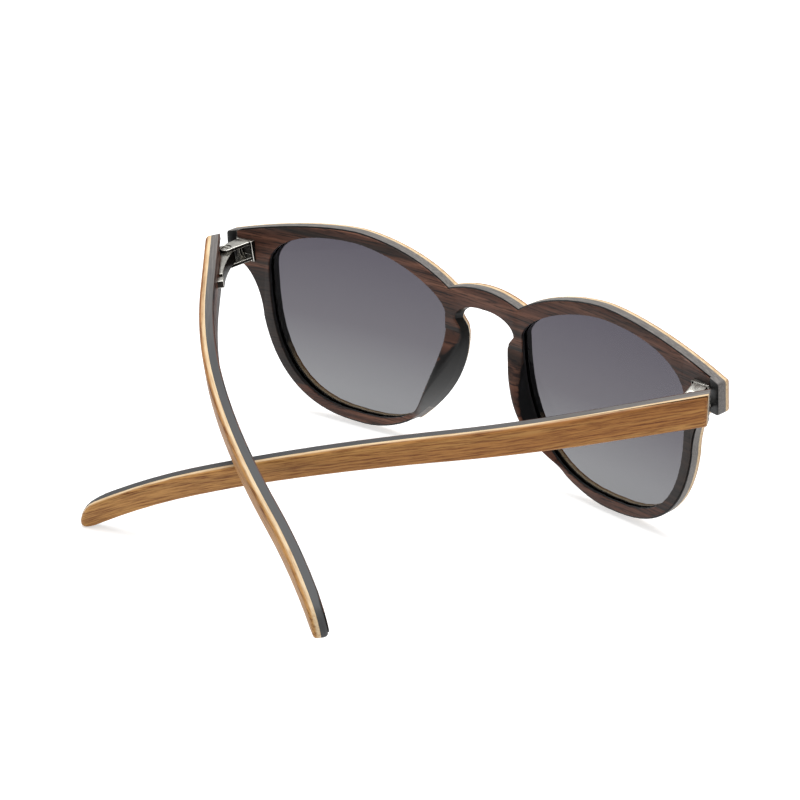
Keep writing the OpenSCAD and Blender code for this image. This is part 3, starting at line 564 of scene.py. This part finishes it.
for side in ("left", "right"):
    for steel, body in (("hinge_bracket", "front"), ("hinge_screw", "front"),
                        ("hinge_slider", f"slider_{side}"), ("spring_case", f"arm_{side}")):
        piece = eased(f"{steel}_{side}", HINGE_EASE, lambda p: np.ones(len(p), bool), dark_side_steel, nickel)
        # faces that look up or down keep the bright nickel; the sides get the painted dark
        # reflection
        looks_up_or_down = np.abs(faces_of(piece.data, "normal")[:, 2]) > UP_OR_DOWN
        finish = np.empty(len(looks_up_or_down), np.int32)
        piece.data.polygons.foreach_get("material_index", finish)
        finish[looks_up_or_down] = 1
        piece.data.polygons.foreach_set("material_index", finish)
        settle(piece, body, f"{steel}_{side}", "hinge_steel")
    # the spring's point that reaches furthest along its arm's flex axis is found, and the spring
    # gets a mesh of its own
    spring = eased(f"hinge_spring_{side}", SPRING_EASE, no_edge)
    settle(spring, f"slider_{side}", f"hinge_spring_{side}", "hinge_steel", nickel)
    joints = frame["record"]["behaviour"]["joints"]
    flex = next(joint for joint in joints if joint["name"] == f"{side}_arm_flex")
    p = points_of(spring.data)
    reach = p @ np.array(flex["axis"])
    (p[reach.argmax()] * MM).tolist()
    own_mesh(spring)

# Arms: oak outside, black ply, and rosewood inside, bent together over a mould and cut to a tapered
# bar with a dropped ear. Their grain follows the bow, and the outer edges are sanded round.
PIVOT = np.array([66.6, -10.987, -0.3])  # the right-hand hinge
LEAN = math.radians(8)  # of the hinge's axis
ARM_OUT, ARM_T, ARM_TOP = 4.65, 3.3, 3.8  # outer face from the pivot, thickness, upper edge
STRAIGHT, BOW_R, BOW_ANGLE, TURN_R = 22.2, 227.0, math.radians(21.7), 232.0  # the bow, from above
EAR_START, DROP_R, DROP_SHARE = 53.5, 229.0, 0.8  # the ear's drop, and how far the grain follows it
FRONT_HALF, END_GAP = 70.5, 0.6  # half the front's width, and the gap between it and an arm
ARM_FRONT = math.sqrt(BEND ** 2 - FRONT_HALF ** 2) - BEND - END_GAP - PIVOT[1]
ARM_EASE, ARM_VENEER_FROM = 0.7, 12  # the veneer's edge is eased from here on
TIP_ROUND, TIP_FROM, TIP_FULL, TIP_SLICE = 1.1, 6, 2, 1.5
GRAIN_APART = 200  # the arms' grain is read this far to both sides, so that they differ


def arm_place(p, sign, fold, slope):
    """Place of points in an arm's own ply: length along the outer face, height from the upper edge,
    depth under the outer face. The fold and lean are undone, and then the point is measured on the
    straight part, on the bow's arc or on the arc that turns back, whichever it has reached."""
    q = p * [sign, 1, 1] - PIVOT
    c, s = math.cos(LEAN), math.sin(LEAN)
    q = np.stack([q[:, 0], c * q[:, 1] + s * q[:, 2], c * q[:, 2] - s * q[:, 1]], axis=1)
    c, s = math.cos(fold), math.sin(fold)
    x, y, z = c * q[:, 0] - s * q[:, 1], s * q[:, 0] + c * q[:, 1], q[:, 2]
    bow_x, bow_y = ARM_OUT - BOW_R, ARM_FRONT - STRAIGHT
    turn_x = bow_x + (BOW_R + TURN_R) * math.cos(BOW_ANGLE)
    turn_y = bow_y - (BOW_R + TURN_R) * math.sin(BOW_ANGLE)
    bow_end = STRAIGHT + BOW_R * BOW_ANGLE
    on_bow = STRAIGHT + BOW_R * np.arctan2(bow_y - y, x - bow_x)
    on_turn = bow_end + TURN_R * (BOW_ANGLE - np.arctan2(y - turn_y, turn_x - x))
    straight, turned = ARM_FRONT - y <= STRAIGHT, on_bow > bow_end
    along = np.where(straight, ARM_FRONT - y, np.where(turned, on_turn, on_bow))
    depth = np.where(straight, ARM_OUT - x, np.where(
        turned, np.hypot(turn_x - x, turn_y - y) - TURN_R, BOW_R - np.hypot(x - bow_x, y - bow_y)))
    level = (ARM_FRONT - y) * math.sin(slope) + z * math.cos(slope)
    run = (ARM_FRONT - y) * math.cos(slope) - z * math.sin(slope)
    drop = DROP_R - np.sqrt(DROP_R ** 2 - np.maximum(run - EAR_START, 0) ** 2)
    return along, level + DROP_SHARE * drop - ARM_TOP, depth


def near_tip(along):
    """Share of the tip's rounding: 0 until 6 mm before the ply's far end, rising to 1 at 2 mm."""
    return np.clip((along - along.max() + TIP_FROM) / (TIP_FROM - TIP_FULL), 0, 1)


for side, sign, fold, slope in (("left", -1, 42.8, 2.2), ("right", 1, 48.8, 4.9)):
    where = lambda p: arm_place(p, sign, math.radians(fold), math.radians(slope))
    facing = eased(f"arm_facing_{side}", ARM_EASE, lambda p: where(p)[2] < SKIN)
    core = eased(f"arm_core_{side}", TIP_ROUND, lambda p: near_tip(where(p)[0])
                 * (where(p)[2] > ARM_T - VENEER_T - SKIN))
    veneer = eased(f"arm_veneer_{side}", VENEER_EASE, lambda p: (where(p)[2] > ARM_T - SKIN)
                   & (where(p)[0] > ARM_VENEER_FROM))
    # the veneer's tip is drawn in towards its middle by as much as the black ply's tip is rounded
    p = points_of(veneer.data)
    along = where(p)[0]
    middle = p[np.abs(along - along.max() + TIP_FROM) < TIP_SLICE].mean(axis=0)
    inward = (middle - p) / np.linalg.norm(middle - p, axis=1, keepdims=True)
    p += TIP_ROUND * near_tip(along)[:, None] * inward
    put_points(veneer.data, p)
    for piece in (facing, core, veneer):
        along, across, depth = where(points_of(piece.data))
        lay_grain(piece, along + GRAIN_APART * sign, across, depth)
    settle(facing, f"arm_{side}", f"arm_facing_{side}", "honey_oak", oak)
    settle(core, f"arm_{side}", f"arm_core_{side}", "black_core", slate)
    settle(veneer, f"arm_{side}", f"arm_veneer_{side}", "dark_rosewood", rosewood)

# Table that the sunglasses lie on: a sheet of white paper, 3 m square. It shows white to the
# camera, in glass and in metal, and keeps the shadow.
FLOOR_HALF, FLOOR_GAP, PAPER_GLOW = 1500, 0.02, 0.55
floor_z = cad_box[0][2] - FLOOR_GAP * MM
half = FLOOR_HALF * MM
floor_mesh = bpy.data.meshes.new("floor")
floor_mesh.from_pydata([(-half, -half, floor_z), (half, -half, floor_z), (half, half, floor_z),
                        (-half, half, floor_z)], [], [(0, 1, 2, 3)])
floor = bpy.data.objects.new("floor", floor_mesh)
bpy.context.scene.collection.objects.link(floor)
paper, tree, shader = material("white_paper")
shader.inputs["Base Color"].default_value = linear("#e6e6e6")
shader.inputs["Roughness"].default_value = 0.9
rays = node(tree, "LightPath").outputs
seen = node(tree, "Math", {0: rays["Is Camera Ray"], 1: rays["Is Transmission Ray"]},
            operation="MAXIMUM")
seen = node(tree, "Math", {0: seen.outputs[0], 1: rays["Is Glossy Ray"]}, operation="MAXIMUM")
glow = node(tree, "Math", {0: seen.outputs[0], 1: PAPER_GLOW}, operation="MULTIPLY")
tree.links.new(glow.outputs[0], shader.inputs["Emission Strength"])
shader.inputs["Emission Color"].default_value = (1, 1, 1, 1)
floor_mesh.materials.append(paper)

# Studio light: a white room that shows white to the camera and through glass, and lights the object
# at a plain level, with one large soft lamp overhead.
ROOM_LIGHT = 0.55
world = bpy.data.worlds.new("white_room")
bpy.context.scene.world = world
world.use_nodes = True
tree = world.node_tree
rays = node(tree, "LightPath").outputs
seen = node(tree, "Math", {0: rays["Is Camera Ray"], 1: rays["Is Transmission Ray"]},
            operation="MAXIMUM")
level = node(tree, "MapRange", {"Value": seen.outputs[0], "To Min": ROOM_LIGHT, "To Max": 1.0})
background = tree.nodes["Background"]
background.inputs["Color"].default_value = (1, 1, 1, 1)
tree.links.new(level.outputs[0], background.inputs["Strength"])

lamp = bpy.data.lights.new("softbox", "AREA")
lamp.shape = "RECTANGLE"
lamp.size = 0.6
lamp.size_y = 0.6
lamp.energy = 5.0
softbox = bpy.data.objects.new("softbox", lamp)
bpy.context.scene.collection.objects.link(softbox)
softbox.matrix_world = Matrix.Translation((-0.1, 0.1, 0.7))

# Camera at the photograph's angle: above and behind the wearer's right shoulder. Its place, aim and
# lens were fitted to outlines in the photograph.
eye = Vector((0.5232, -0.5519, 0.2986))
ahead = Vector((-0.6505, 0.6540, -0.3863)).normalized()
right = Vector((0.7191, 0.6940, -0.0359)).normalized()
up = right.cross(ahead).normalized()
lens_data = bpy.data.cameras.new("camera")
lens_data.lens = 174.07
lens_data.sensor_width = 36.0
lens_data.clip_start = 0.01
camera = bpy.data.objects.new("camera", lens_data)
bpy.context.scene.collection.objects.link(camera)
axes = Matrix((right, up, -ahead)).transposed().to_4x4()
camera.matrix_world = Matrix.Translation(eye) @ axes
bpy.context.scene.camera = camera
bpy.context.scene.view_settings.view_transform = "Standard"
